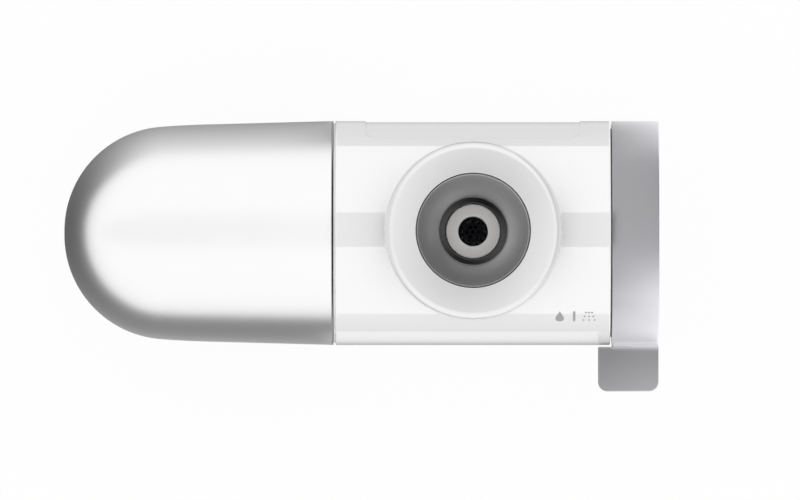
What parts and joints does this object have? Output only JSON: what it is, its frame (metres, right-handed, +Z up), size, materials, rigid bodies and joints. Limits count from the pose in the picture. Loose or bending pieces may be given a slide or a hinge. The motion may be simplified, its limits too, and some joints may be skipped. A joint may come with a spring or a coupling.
{
  "type": "faucet water filter",
  "caption": "Lying cylindrical tap filter: white housing with a round inlet collar on top, satin metal dome over a cartridge, grey diverter lever cap with a finger tab.",
  "frame": {"origin": "on the inlet axis, at the face of the rubber washer that the tap's threaded end seats on", "axes": "+X along the body from the dome to the lever, +Z up out of the inlet, the user stands at -Y"},
  "size_m": [0.1485, 0.0676, 0.0731],
  "materials": {
    "white_gloss": "glossy white moulded plastic",
    "white_inner": "white moulded plastic, as moulded",
    "satin_metal": "satin metal, fine bead-blasted grain",
    "lever_grey": "satin lavender grey plastic",
    "adapter_grey": "turned grey metal",
    "bush_grey": "light grey plastic",
    "dark_plastic": "dark grey plastic",
    "valve_grey": "pale grey plastic",
    "black_rubber": "black rubber",
    "steel": "plain steel",
    "nylon": "natural nylon",
    "case_clear": "pale blue-grey plastic",
    "fleece": "white filter fleece",
    "carbon": "pressed black carbon",
    "fibre": "white hollow fibres",
    "resin": "pale amber resin"
  },
  "bodies": {
    "housing": {"housing": "white_gloss", "cartridge_socket": "white_inner", "grip_ring": "black_rubber", "bearing_plate": "dark_plastic", "plate_screws": "steel", "valve_body": "valve_grey", "feed_tube": "valve_grey", "inlet_neck": "valve_grey", "neck_seal": "black_rubber", "adapter_seal": "black_rubber", "faucet_adapter": "adapter_grey", "faucet_washer": "black_rubber", "inlet_bush": "bush_grey", "inlet_strainer": "dark_plastic", "outlet_stem": "valve_grey", "stem_seal": "black_rubber", "spray_ring": "white_gloss", "spray_plate": "dark_plastic", "stream_aerator": "bush_grey", "aerator_screen": "steel", "purified_spout": "white_gloss", "spout_seal": "black_rubber", "detent_spring": "steel"},
    "lever": {"lever_cap": "lever_grey", "end_cover": "lever_grey", "lever_screw": "steel", "valve_rotor": "white_inner", "rotor_seals": "black_rubber"},
    "slip": {"slip_washer": "nylon"},
    "collar": {"collar_nut": "white_gloss"},
    "cartridge": {"cartridge_case": "case_clear", "cartridge_end_cap": "white_inner", "nipple_seals": "black_rubber", "case_seal": "black_rubber", "fleece_wrap": "fleece", "carbon_block": "carbon", "fibre_bundle": "fibre", "potting_disc": "resin"},
    "dome": {"dome_cover": "satin_metal"}
  },
  "joints": [
    {"name": "lever_turn", "type": "hinge", "parent": "housing", "child": "lever", "pos_m": [0.0406, 0, -0.0226], "axis": [-1, 0, 0], "range_deg": [-41, 41], "deforming": ["detent_spring"]},
    {"name": "collar_lift", "type": "slide", "parent": "housing", "child": "slip", "axis": [0, 0, 1], "range_m": [0, 0.003]},
    {"name": "collar_turn", "type": "hinge", "parent": "slip", "child": "collar", "pos_m": [0, 0, 0.0115], "axis": [0, 0, 1], "range_deg": [0, 720]},
    {"name": "cartridge_pull", "type": "slide", "parent": "housing", "child": "cartridge", "axis": [-1, 0, 0], "range_m": [0, 0.03]},
    {"name": "dome_pull", "type": "slide", "parent": "cartridge", "child": "dome", "axis": [-1, 0, 0], "range_m": [0, 0.075]}
  ],
  "couplings": [
    {"joint": "collar_lift", "follows": "collar_turn", "m_per_rad": 0.00023873}
  ]
}
